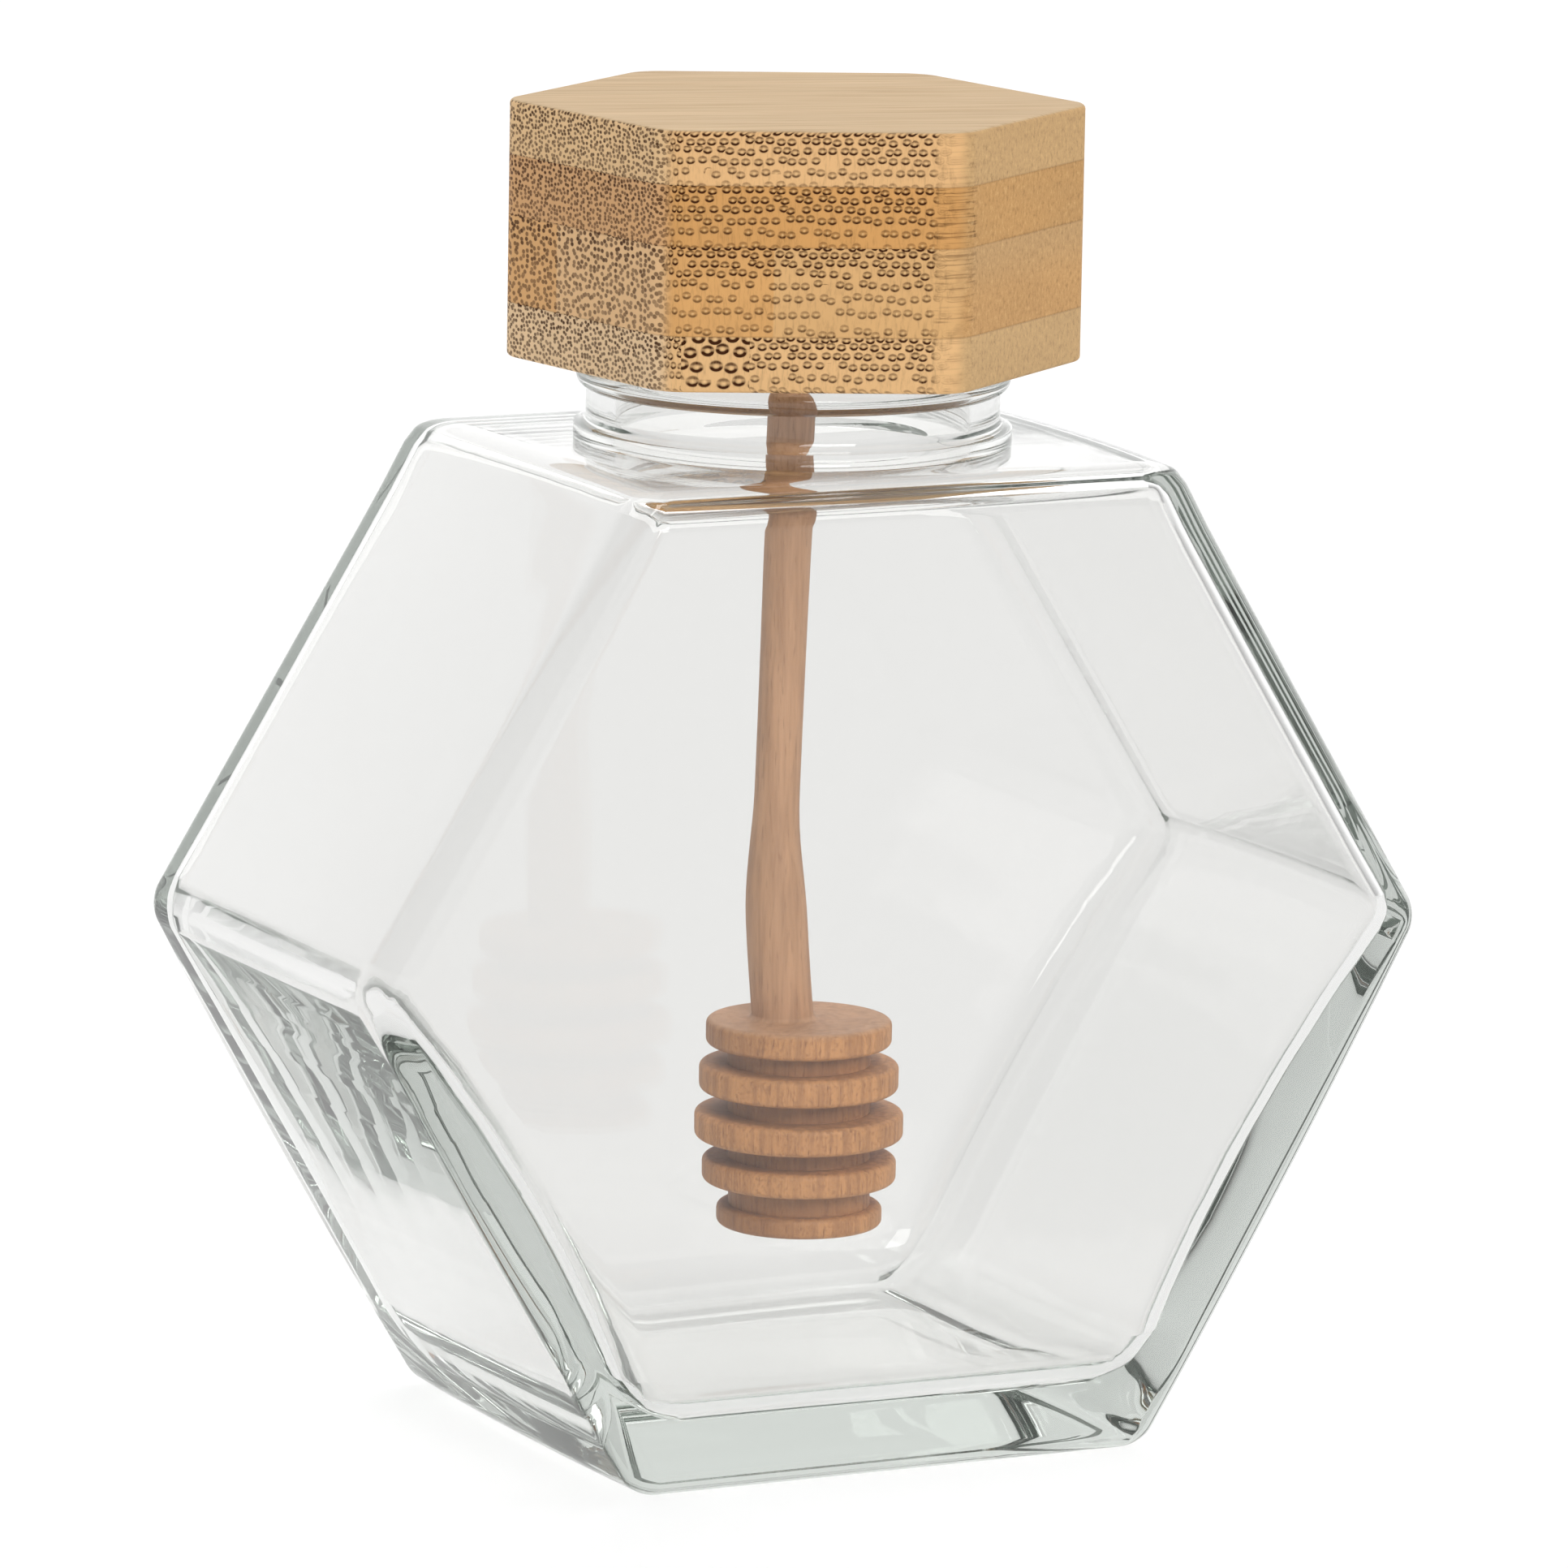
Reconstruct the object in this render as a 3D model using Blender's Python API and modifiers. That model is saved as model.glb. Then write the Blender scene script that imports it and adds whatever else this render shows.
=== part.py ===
"""Hexagonal honey jar: a clear glass jar, its six-sided bamboo cap, and a turned wooden honey dipper.

The jar is a hexagonal prism that lies along Y and stands on one of its six sides. Its round neck
rises along Z from the side opposite. The cap is turned about Z against the body, and it holds the
dipper by its stick. The origin is at the centre of the base.
"""

import math

import bmesh
import bpy
from mathutils import Matrix, Vector

MM = 0.001
FIT_GAP = 0.3 * MM              # clearance between two pieces that touch
SMOOTH_ANGLE = 35               # degrees: flatter edges than this are shaded smooth
HALF_HEX = 30                   # degrees: half of one side's turn in a hexagon

# Glass body, outside
BODY_WIDTH = 114.9 * MM         # left corner to right corner, before the corners are rounded
BODY_HEIGHT = 99.4 * MM         # base to the front and back edges of the shoulder
BODY_DEPTH = 54.6 * MM          # front face to back face
CORNER_HEIGHT = 51.4 * MM       # height of the left and right corners
TOP_SIDE = 55.6 * MM
BASE_SIDE = 55.2 * MM
SLOPE_CROWN = 0.6 * MM          # how far the slanted sides swell between the front and the back
TOP_CROWN = 0.45 * MM           # the same for the shoulder
UPPER_BOW = 0.05 * MM           # how far the upper slanted sides swell between their corners
LOWER_BOW = 0.4 * MM            # the same for the lower ones
CAVITY_LOWER_BOW = -3.1 * MM    # inside they swell the other way, so the glass is thickest half-way down
BODY_ROUNDING = 2.5 * MM        # how far a rounded edge reaches into the faces beside it
BODY_FACETS = 4                 # across each rounded edge
CREASE_ANGLE = 30               # degrees: edges sharper than this are rounded
GRID_ALONG = 4                  # facets along each side
GRID_ACROSS = 6                 # facets from front to back

# Glass body, inside
WALL = 2.0 * MM
SHOULDER_WALL = 3.2 * MM
BASE_WALL = 6.4 * MM
CAVITY_ROUNDING = 4.2 * MM
CAVITY_FACETS = 5
CUT_BEYOND = 2.0 * MM           # how far a cut runs on past the face where it opens

# Neck
NECK_RADIUS = 20.3 * MM
NECK_BORE_RADIUS = 17.4 * MM
NECK_FLARE = 2.6 * MM           # radius of the fillet between the shoulder and the neck
NECK_FOOT = 99.75 * MM          # height where that fillet ends
BEAD_RADIUS = 21.3 * MM
BEAD_BOTTOM = 103.3 * MM
BEAD_TOP = 105.9 * MM
BEAD_SPREAD = 60                # degrees of its arc above and below its widest line
RIM_HEIGHT = 118.2 * MM
RIM_ROUNDING = 1.2 * MM
BORE_FLARE = 3.0 * MM           # radius where the bore opens into the body
NECK_ROOT = 4.0 * MM            # how far the neck's solid reaches down into the body's glass
NECK_STEPS = 72
FILLET_FACETS = 6
RIM_FACETS = 4

# Cap
CAP_BOTTOM = 106.2 * MM
CAP_TOP = 131.4 * MM
CAP_ACROSS_FLATS = 49.8 * MM
CAP_CORNER_RADIUS = 4.0 * MM
CAP_CORNER_FACETS = 5
CAP_EDGE_BREAK = 0.45 * MM
CAP_EDGE_FACETS = 2
CAP_EDGE_ANGLE = 60             # degrees: the edges around its top and underside, not the upright ones
CAP_TURN = -22.6                # degrees about Z, from the body's front face
CAP_RECESS_RADIUS = NECK_RADIUS + 2 * FIT_GAP
CAP_RECESS_CEILING = RIM_HEIGHT + FIT_GAP
STICK_HOLE_DEPTH = 8.0 * MM
STICK_HOLE_RADIUS = 2.8 * MM
STICK_HOLE_OFFSET = 0.55 * MM   # from the cap's middle, the way the head swings

# Dipper: heights above the base, and radii
STICK_TOP_RADIUS = 2.35 * MM
STICK_WAIST_RADIUS = 2.25 * MM
STICK_FOOT_RADIUS = 3.05 * MM
STICK_WAIST_HEIGHT = 63.0 * MM
STICK_FOOT_HEIGHT = 50.0 * MM
STICK_END_BREAK = 0.4 * MM
STICK_SLANT = 0.0305            # sideways run of the warped stick for each unit of its height
STICK_STRAIGHT_END = 59.0 * MM  # height where it bends back towards the head
STICK_FOOT_OFFSET = 1.65 * MM   # from the head's axis to the middle of the stick's foot
STICK_FACETS = 4                # down each of the stick's two tapers
STICK_FOOT_FACETS = 2
HEAD_CORE_RADIUS = 7.1 * MM
DISC_EDGE_ROUND = 0.35 * MM
DISC_EDGE_FACETS = 2
DISCS = (                       # underside height, thickness and radius of each disc, top to bottom
    (37.9 * MM, 2.6 * MM, 9.2 * MM),
    (33.3 * MM, 2.8 * MM, 9.9 * MM),
    (28.5 * MM, 2.8 * MM, 10.4 * MM),
    (24.1 * MM, 2.5 * MM, 9.7 * MM),
    (19.7 * MM, 2.1 * MM, 8.3 * MM),
)
HEAD_OFFSET = 1.3 * MM          # from the jar's axis to the head's
HEAD_LEAN = 0.9                 # degrees that the head hangs out of upright
HEAD_SWINGS_TOWARDS = -26.5     # degrees from +X about Z
DIPPER_STEPS = 40


def remove_old_objects():
    for old in list(bpy.data.objects):
        bpy.data.objects.remove(old, do_unlink=True)


def new_collection(name):
    collection = bpy.data.collections.new(name)
    bpy.context.scene.collection.children.link(collection)
    return collection


def material(name, colour, roughness, transmission=0.0, ior=1.45):
    made = bpy.data.materials.new(name)
    made.use_nodes = True
    shader = made.node_tree.nodes["Principled BSDF"]
    shader.inputs["Base Color"].default_value = (*colour, 1.0)
    shader.inputs["Roughness"].default_value = roughness
    shader.inputs["Metallic"].default_value = 0.0
    shader.inputs["Transmission Weight"].default_value = transmission
    shader.inputs["IOR"].default_value = ior
    return made


def object_from(name, bm, collection, finish=None):
    """An object made of the given geometry, smooth but for its sharp edges."""
    mesh = bpy.data.meshes.new(name)
    bm.to_mesh(mesh)
    bm.free()
    mesh.shade_smooth()
    mesh.set_sharp_from_angle(angle=math.radians(SMOOTH_ANGLE))
    made = bpy.data.objects.new(name, mesh)
    collection.objects.link(made)
    if finish:
        mesh.materials.append(finish)
    return made


def as_cutter(cutter):
    cutter.hide_render = True
    cutter.display_type = "WIRE"
    return cutter


def round_edges(target, width, segments, angle):
    bevel = target.modifiers.new("Rounded edges", "BEVEL")
    bevel.width = width
    bevel.segments = segments
    bevel.limit_method = "ANGLE"
    bevel.angle_limit = math.radians(angle)


def combine(target, other, operation):
    boolean = target.modifiers.new(f"{operation.title()} {other.name}", "BOOLEAN")
    boolean.operation = operation
    boolean.object = other
    boolean.solver = "EXACT"


def arc(centre, radius, start, end, facets):
    """Points (r, z) on an arc about centre, from one angle to the other in degrees."""
    points = []
    for i in range(facets + 1):
        angle = math.radians(start + (end - start) * i / facets)
        points.append((centre[0] + radius * math.cos(angle), centre[1] + radius * math.sin(angle)))
    return points


def taper(upper, lower, facets):
    """Points (r, z) from one (r, z) down to another, eased at both ends, without the first."""
    points = []
    for i in range(1, facets + 1):
        share = i / facets
        eased = (1 - math.cos(math.pi * share)) / 2
        points.append((upper[0] + (lower[0] - upper[0]) * eased, upper[1] + (lower[1] - upper[1]) * share))
    return points


def turned(name, profile, steps, collection, finish=None):
    """A solid of revolution about Z from a profile of (r, z) points, top to bottom."""
    bm = bmesh.new()
    ring = [bm.verts.new((r, 0.0, z)) for r, z in profile]
    for upper, lower in zip(ring, ring[1:]):
        bm.edges.new((upper, lower))
    made = object_from(name, bm, collection, finish)
    screw = made.modifiers.new("Turned about Z", "SCREW")
    screw.axis = "Z"
    screw.steps = steps
    screw.render_steps = steps
    screw.use_merge_vertices = True
    screw.merge_threshold = 0.00001
    screw.use_smooth_shade = True
    return made


def body_outline(inset_slopes, inset_top, inset_base):
    """The six corners (x, z) of the body with its sides set in, counter-clockwise from the right one."""
    middle = BODY_WIDTH / 2
    corners = [
        Vector((middle, CORNER_HEIGHT)),
        Vector((TOP_SIDE / 2, BODY_HEIGHT)),
        Vector((-TOP_SIDE / 2, BODY_HEIGHT)),
        Vector((-middle, CORNER_HEIGHT)),
        Vector((-BASE_SIDE / 2, 0.0)),
        Vector((BASE_SIDE / 2, 0.0)),
    ]
    insets = [inset_slopes, inset_top, inset_slopes, inset_slopes, inset_base, inset_slopes]
    sides = []
    for i, inset in enumerate(insets):
        along = (corners[(i + 1) % 6] - corners[i]).normalized()
        inward = Vector((-along.y, along.x))
        sides.append((corners[i] + inward * inset, along))
    moved = []
    for before, after in zip([sides[-1], *sides[:-1]], sides):
        reach = (after[0] - before[0]).cross(after[1]) / before[1].cross(after[1])
        moved.append(before[0] + before[1] * reach)
    return moved


def swollen_prism(name, insets, depth, lower_bow, collection, finish=None):
    """The hexagonal prism along Y, set in from the body's outline by the given amounts.

    It starts as a cylinder whose rings have a few points for each side of the hexagon. Each ring
    is then laid on the outline, which swells towards the middle of the depth. The base stays flat.
    """
    bm = bmesh.new()
    bmesh.ops.create_cone(
        bm, cap_ends=True, segments=6 * GRID_ALONG, radius1=1.0, radius2=1.0, depth=depth,
        matrix=Matrix.Rotation(math.radians(90), 4, "X"),
    )
    lengthwise = [edge for edge in bm.edges if abs(edge.verts[0].co.y - edge.verts[1].co.y) > depth / 2]
    bmesh.ops.subdivide_edges(bm, edges=lengthwise, cuts=GRID_ACROSS - 1)
    slopes, top, base = insets
    bows = (UPPER_BOW, 0.0, UPPER_BOW, lower_bow, 0.0, lower_bow)
    for vertex in bm.verts:
        around = math.atan2(vertex.co.z, vertex.co.x) / math.tau
        place = round(around * 6 * GRID_ALONG) % (6 * GRID_ALONG)
        side, step = divmod(place, GRID_ALONG)
        swell = 1 - (2 * vertex.co.y / depth) ** 2
        corners = body_outline(slopes - SLOPE_CROWN * swell, top - TOP_CROWN * swell, base)
        start, end = corners[side], corners[(side + 1) % 6]
        share = step / GRID_ALONG
        along = (end - start).normalized()
        outward = Vector((along.y, -along.x))
        point = start.lerp(end, share) + outward * bows[side] * 4 * share * (1 - share)
        vertex.co.x, vertex.co.z = point
    bmesh.ops.recalc_face_normals(bm, faces=bm.faces)
    return object_from(name, bm, collection, finish)


def glass_jar(parts, cutters, finish):
    jar = swollen_prism("glass_jar", (0.0, 0.0, 0.0), BODY_DEPTH, LOWER_BOW, parts, finish)
    round_edges(jar, BODY_ROUNDING, BODY_FACETS, CREASE_ANGLE)

    flare_radius = NECK_RADIUS + NECK_FLARE
    flare_centre = (flare_radius, NECK_FOOT + NECK_FLARE)
    bead_round = (BEAD_TOP - BEAD_BOTTOM) / 2
    bead_centre = (BEAD_RADIUS - bead_round, BEAD_BOTTOM + bead_round)
    outside = [(0.0, RIM_HEIGHT)]
    outside += arc((NECK_RADIUS - RIM_ROUNDING, RIM_HEIGHT - RIM_ROUNDING), RIM_ROUNDING, 90, 0, RIM_FACETS)
    outside += [(NECK_RADIUS, BEAD_TOP)]
    outside += arc(bead_centre, bead_round, BEAD_SPREAD, -BEAD_SPREAD, FILLET_FACETS)
    outside += [(NECK_RADIUS, BEAD_BOTTOM)]
    outside += arc(flare_centre, NECK_FLARE, 180, 270, FILLET_FACETS)
    outside += [(flare_radius, BODY_HEIGHT - NECK_ROOT), (0.0, BODY_HEIGHT - NECK_ROOT)]
    neck = as_cutter(turned("neck", outside, NECK_STEPS, cutters))
    combine(jar, neck, "UNION")

    walls = (WALL, SHOULDER_WALL, BASE_WALL)
    cavity = as_cutter(swollen_prism("cavity", walls, BODY_DEPTH - 2 * WALL, CAVITY_LOWER_BOW, cutters))
    round_edges(cavity, CAVITY_ROUNDING, CAVITY_FACETS, CREASE_ANGLE)
    combine(jar, cavity, "DIFFERENCE")

    ceiling = NECK_FOOT - SHOULDER_WALL
    bore_flare = NECK_BORE_RADIUS + BORE_FLARE
    above_rim = RIM_HEIGHT + CUT_BEYOND
    below_ceiling = ceiling - CUT_BEYOND
    rim_centre = (NECK_BORE_RADIUS + RIM_ROUNDING, RIM_HEIGHT - RIM_ROUNDING)
    inside = [(0.0, above_rim), (rim_centre[0], above_rim)]
    inside += arc(rim_centre, RIM_ROUNDING, 90, 180, RIM_FACETS)
    inside += arc((bore_flare, ceiling + BORE_FLARE), BORE_FLARE, 180, 270, FILLET_FACETS)
    inside += [(bore_flare, below_ceiling), (0.0, below_ceiling)]
    bore = as_cutter(turned("neck_bore", inside, NECK_STEPS, cutters))
    combine(jar, bore, "DIFFERENCE")


def bamboo_cap(parts, cutters, finish):
    """A six-sided block with rounded upright corners, bored from below for the neck and the stick."""
    height = CAP_TOP - CAP_BOTTOM
    corner_distance = CAP_ACROSS_FLATS / 2 / math.cos(math.radians(HALF_HEX))
    middle = Matrix.Translation((0.0, 0.0, (CAP_BOTTOM + CAP_TOP) / 2))
    face_forward = Matrix.Rotation(math.radians(HALF_HEX), 4, "Z")
    bm = bmesh.new()
    bmesh.ops.create_cone(
        bm, cap_ends=True, segments=6, radius1=corner_distance, radius2=corner_distance, depth=height,
        matrix=middle @ face_forward,
    )
    upright = [edge for edge in bm.edges if abs(edge.verts[0].co.z - edge.verts[1].co.z) > height / 2]
    bmesh.ops.bevel(
        bm, geom=upright, offset=CAP_CORNER_RADIUS * math.tan(math.radians(HALF_HEX)), offset_type="OFFSET",
        segments=CAP_CORNER_FACETS, profile=0.5, affect="EDGES",
    )
    cap = object_from("bamboo_cap", bm, parts, finish)
    cap.rotation_euler.z = math.radians(CAP_TURN)
    round_edges(cap, CAP_EDGE_BREAK, CAP_EDGE_FACETS, CAP_EDGE_ANGLE)

    below = CAP_BOTTOM - CUT_BEYOND
    hole_top = CAP_RECESS_CEILING + STICK_HOLE_DEPTH
    recess = [
        (0.0, CAP_RECESS_CEILING),
        (CAP_RECESS_RADIUS, CAP_RECESS_CEILING),
        (CAP_RECESS_RADIUS, below),
        (0.0, below),
    ]
    hole = [(0.0, hole_top), (STICK_HOLE_RADIUS, hole_top), (STICK_HOLE_RADIUS, below), (0.0, below)]
    combine(cap, as_cutter(turned("cap_recess", recess, NECK_STEPS, cutters)), "DIFFERENCE")
    stick_hole = as_cutter(turned("stick_hole", hole, DIPPER_STEPS, cutters))
    stick_hole.location = swing_direction() * STICK_HOLE_OFFSET
    combine(cap, stick_hole, "DIFFERENCE")


def swing_direction():
    angle = math.radians(HEAD_SWINGS_TOWARDS)
    return Vector((math.cos(angle), math.sin(angle), 0.0))


def stick_centre(height):
    """How far the middle of the warped stick lies from the jar's axis, the way the head swings."""
    grip_height = CAP_RECESS_CEILING + STICK_HOLE_DEPTH / 2
    if height > STICK_STRAIGHT_END:
        return STICK_HOLE_OFFSET - STICK_SLANT * (grip_height - height)
    start = STICK_HOLE_OFFSET - STICK_SLANT * (grip_height - STICK_STRAIGHT_END)
    head_top = DISCS[0][0] + DISCS[0][1]
    share = (STICK_STRAIGHT_END - height) / (STICK_STRAIGHT_END - head_top)
    end = HEAD_OFFSET - STICK_FOOT_OFFSET
    return start + (end - start) * (1 - math.cos(math.pi / 2 * share))


def warp_stick(dipper, head_top):
    """Lays the turned stick on its bent middle line, and the head on its own slightly leaning axis."""
    evaluated = dipper.evaluated_get(bpy.context.evaluated_depsgraph_get())
    mesh = bpy.data.meshes.new_from_object(evaluated)
    dipper.modifiers.clear()
    dipper.data = mesh
    for vertex in mesh.vertices:
        above_head = vertex.co.z > head_top - 0.01 * MM
        on_stick = math.hypot(vertex.co.x, vertex.co.y) < HEAD_CORE_RADIUS - 1 * MM
        if above_head and on_stick:
            offset = stick_centre(vertex.co.z)
        else:
            offset = HEAD_OFFSET + math.tan(math.radians(HEAD_LEAN)) * (head_top - vertex.co.z)
        vertex.co += swing_direction() * offset


def disc_profile(underside, thickness, radius):
    """One disc of the head from its upper face to its underside, with its rim rounded."""
    top = underside + thickness
    rim = radius - DISC_EDGE_ROUND
    outline = [(HEAD_CORE_RADIUS, top)]
    outline += arc((rim, top - DISC_EDGE_ROUND), DISC_EDGE_ROUND, 90, 0, DISC_EDGE_FACETS)
    outline += arc((rim, underside + DISC_EDGE_ROUND), DISC_EDGE_ROUND, 0, -90, DISC_EDGE_FACETS)
    outline += [(HEAD_CORE_RADIUS, underside)]
    return outline


def honey_dipper(parts, finish):
    """A turned stick with a grooved head. The cap holds the stick, which is slightly warped."""
    stick_top = CAP_RECESS_CEILING + STICK_HOLE_DEPTH - FIT_GAP
    head_top = DISCS[0][0] + DISCS[0][1]
    neck_end = (STICK_TOP_RADIUS, CAP_BOTTOM)
    waist = (STICK_WAIST_RADIUS, STICK_WAIST_HEIGHT)
    foot = (STICK_FOOT_RADIUS, STICK_FOOT_HEIGHT)
    profile = [
        (0.0, stick_top),
        (STICK_TOP_RADIUS - STICK_END_BREAK, stick_top),
        (STICK_TOP_RADIUS, stick_top - STICK_END_BREAK),
        neck_end,
    ]
    profile += taper(neck_end, waist, STICK_FACETS)
    profile += taper(waist, foot, STICK_FACETS)
    profile += taper(foot, (STICK_FOOT_RADIUS, head_top), STICK_FOOT_FACETS)
    for underside, thickness, radius in DISCS:
        profile += disc_profile(underside, thickness, radius)
    profile.append((0.0, DISCS[-1][0]))

    dipper = turned("honey_dipper", profile, DIPPER_STEPS, parts, finish)
    warp_stick(dipper, head_top)


def main():
    remove_old_objects()
    parts = new_collection("hexagonal honey jar")
    cutters = new_collection("cutters")
    glass = material("clear glass", (0.93, 0.97, 0.95), 0.02, transmission=1.0, ior=1.52)
    bamboo = material("laminated bamboo", (0.66, 0.46, 0.25), 0.5)
    wood = material("turned hardwood", (0.62, 0.40, 0.25), 0.6)
    glass_jar(parts, cutters, glass)
    bamboo_cap(parts, cutters, bamboo)
    honey_dipper(parts, wood)


main()
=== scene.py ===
"""Looks of a hexagonal honey jar: clear glass, a laminated bamboo cap and a turned wooden dipper."""

import math

import bpy
from mathutils import Matrix, Vector


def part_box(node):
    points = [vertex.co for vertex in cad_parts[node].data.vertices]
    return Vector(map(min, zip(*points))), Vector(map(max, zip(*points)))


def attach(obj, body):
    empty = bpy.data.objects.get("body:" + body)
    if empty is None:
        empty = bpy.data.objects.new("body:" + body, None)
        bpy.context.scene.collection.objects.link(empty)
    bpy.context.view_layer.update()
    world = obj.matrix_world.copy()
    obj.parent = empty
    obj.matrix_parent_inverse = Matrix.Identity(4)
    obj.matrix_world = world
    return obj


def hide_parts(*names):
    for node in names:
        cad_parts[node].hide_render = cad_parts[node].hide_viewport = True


MM = 0.001

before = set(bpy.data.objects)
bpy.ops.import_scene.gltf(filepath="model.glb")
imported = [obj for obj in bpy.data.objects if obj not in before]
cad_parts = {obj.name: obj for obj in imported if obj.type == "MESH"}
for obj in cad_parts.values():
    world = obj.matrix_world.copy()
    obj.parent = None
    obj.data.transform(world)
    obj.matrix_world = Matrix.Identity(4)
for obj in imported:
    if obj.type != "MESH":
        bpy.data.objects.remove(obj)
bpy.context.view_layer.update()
jar_low, jar_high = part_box("glass_jar")
cap_low, cap_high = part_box("bamboo_cap")

# Glass body, outside: corners as (x, z), counter-clockwise from the right one
BODY_HEIGHT = 99.4 * MM
BODY_DEPTH = jar_high.y - jar_low.y
CORNER_HEIGHT = 51.4 * MM
BODY_CORNERS = [Vector(corner) * MM for corner in (
    (57.39, 51.4), (27.8, 99.4), (-27.8, 99.4), (-57.39, 51.4), (-27.6, 0.0), (27.6, 0.0),
)]
SIDE_CROWN = 0.6 * MM
TOP_CROWN = 0.45 * MM
LOWER_BOW = 0.45 * MM
BODY_ROUNDING = 2.5 * MM
BODY_GRID_DEPTH = 3.2 * MM
BODY_GRID_HEIGHT = 4.0 * MM
SIDE_SLANT = 1.16  # shift along x for each unit square to a sloping side

# Glass body, inside
WALL = 2.0 * MM
SHOULDER_WALL = 3.2 * MM
BASE_WALL = 6.4 * MM
CAVITY_LOWER_BOW = -3.1 * MM
CAVITY_ROUNDING = {
    "upper_rim": 2.8 * MM,
    "lower_rim": 4.0 * MM,
    "base_rim": 5.0 * MM,
    "top_corner": 2.2 * MM,
    "side_corner": 2.5 * MM,
    "base_corner": 7.0 * MM,
}
CAVITY_REACH = 56 * MM
CAVITY_GRID = 1.9 * MM
WAVE_SIZE = 38 * MM
WAVE_HEIGHT = 0.55 * MM

# Neck
NECK_RADIUS = 20.3 * MM
NECK_BORE_RADIUS = 17.4 * MM
NECK_FLARE = 1.2 * MM
NECK_FOOT = 99.75 * MM
BEAD_RADIUS = 21.3 * MM
BEAD_BOTTOM = 103.3 * MM
BEAD_TOP = 105.9 * MM
RIM_HEIGHT = jar_high.z
RIM_ROUNDING = 1.2 * MM
BORE_FLARE = 2.6 * MM
NECK_ROOT = 2.5 * MM  # how far the neck's cylinder reaches down into the body
OVERSHOOT = 2 * MM  # how far a cutter reaches past the surface that it opens
NECK_STEPS = 128

SMOOTH_ANGLE = math.radians(40)

# Cap
CAP_BOTTOM = cap_low.z
CAP_TOP = cap_high.z
CAP_ACROSS_FLATS = 49.79 * MM
CAP_CORNER_RADIUS = 4.0 * MM
CAP_EDGE_ROUNDING = 0.45 * MM
CAP_TURN = math.radians(-22.6)
HALF_HEX = math.radians(30)
RECESS_RADIUS = NECK_RADIUS + 0.6 * MM
RECESS_CEILING = RIM_HEIGHT + 0.3 * MM
STICK_HOLE_RADIUS = 2.8 * MM
STICK_HOLE_DEPTH = 8 * MM

# Dipper
STICK_TOP = 126.2 * MM
GRIP_HEIGHT = 122.5 * MM
GRIP_OFFSET = 0.55 * MM
STICK_SLANT = 0.0305
STICK_STRAIGHT_END = 59.0 * MM
HEAD_TOP = 40.5 * MM
HEAD_OFFSET = 1.3 * MM
STICK_FOOT_OFFSET = 1.65 * MM
HEAD_LEAN = math.tan(math.radians(0.9))
SWING = Vector((math.cos(math.radians(-26.5)), math.sin(math.radians(-26.5)), 0.0))
STICK_RADIUS = 2.35 * MM
STICK_END_ROUNDING = 0.4 * MM
STICK_WAIST = (2.25 * MM, 63 * MM)
STICK_FOOT = (3.05 * MM, 50 * MM)
STICK_FILLET = 0.6 * MM
HEAD_CORE_RADIUS = 7.1 * MM
HEAD_CORE_FILLET = 0.3 * MM
DISC_ROUNDING = 0.6 * MM
DIPPER_STEPS = 96

# The head's discs from the top down: underside, thickness and radius
DISCS = (
    (37.9 * MM, 2.6 * MM, 9.2 * MM),
    (33.3 * MM, 2.8 * MM, 9.9 * MM),
    (28.5 * MM, 2.8 * MM, 10.4 * MM),
    (24.1 * MM, 2.5 * MM, 9.7 * MM),
    (19.7 * MM, 2.1 * MM, 8.3 * MM),
)


# Handling pieces

def pick(piece):
    """Makes a piece the only selected one, and the active one."""
    for each in bpy.context.selected_objects:
        each.select_set(False)
    piece.select_set(True)
    bpy.context.view_layer.objects.active = piece


def added(name):
    """The object that an operator has just added, under its own name."""
    piece = bpy.context.active_object
    piece.name = piece.data.name = name
    pick(piece)
    bpy.ops.object.transform_apply(location=True, rotation=True, scale=True)
    return piece


def modify(piece, kind, **settings):
    """Adds one modifier and applies it."""
    pick(piece)
    modifier = piece.modifiers.new(kind.title(), kind)
    for key, value in settings.items():
        setattr(modifier, key, value)
    bpy.ops.object.modifier_apply(modifier=modifier.name)


def cut_or_join(piece, other, operation):
    """A Boolean with another piece, which is used up."""
    modify(piece, "BOOLEAN", operation=operation, object=other, solver="EXACT")
    bpy.data.objects.remove(other, do_unlink=True)


def edit_points(piece, wanted, operator, **settings):
    """Runs an edit-mode operator on the points whose places wanted() accepts."""
    pick(piece)
    bpy.ops.object.mode_set(mode="EDIT")
    bpy.ops.mesh.select_mode(type="VERT")
    bpy.ops.mesh.select_all(action="DESELECT")
    bpy.ops.object.mode_set(mode="OBJECT")
    for point in piece.data.vertices:
        point.select = wanted(point.co)
    bpy.ops.object.mode_set(mode="EDIT")
    operator(**settings)
    bpy.ops.object.mode_set(mode="OBJECT")


def slice_all(piece, axis, low, high, step):
    """Cuts a piece's whole surface at even steps along an axis, for a finer grid."""
    count = round((high - low) / step)
    across = Vector((0.0, 0.0, 0.0))
    across[axis] = 1.0
    for i in range(1, count):
        place = across * (low + (high - low) * i / count)
        edit_points(piece, lambda co: True, bpy.ops.mesh.bisect, plane_co=place, plane_no=across)


def arc(centre, radius, start, end, facets):
    """Points on an arc from one angle to the other, in degrees."""
    turns = [math.radians(start + (end - start) * i / facets) for i in range(facets + 1)]
    return [(centre[0] + radius * math.cos(turn), centre[1] + radius * math.sin(turn)) for turn in turns]


def taper(upper, lower, facets):
    """Points (r, z) from one down to another, eased at both ends, without the last."""
    points = []
    for i in range(facets):
        share = i / facets
        eased = (1 - math.cos(math.pi * share)) / 2
        radius = upper[0] + (lower[0] - upper[0]) * eased
        points.append((radius, upper[1] + (lower[1] - upper[1]) * share))
    return points


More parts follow.
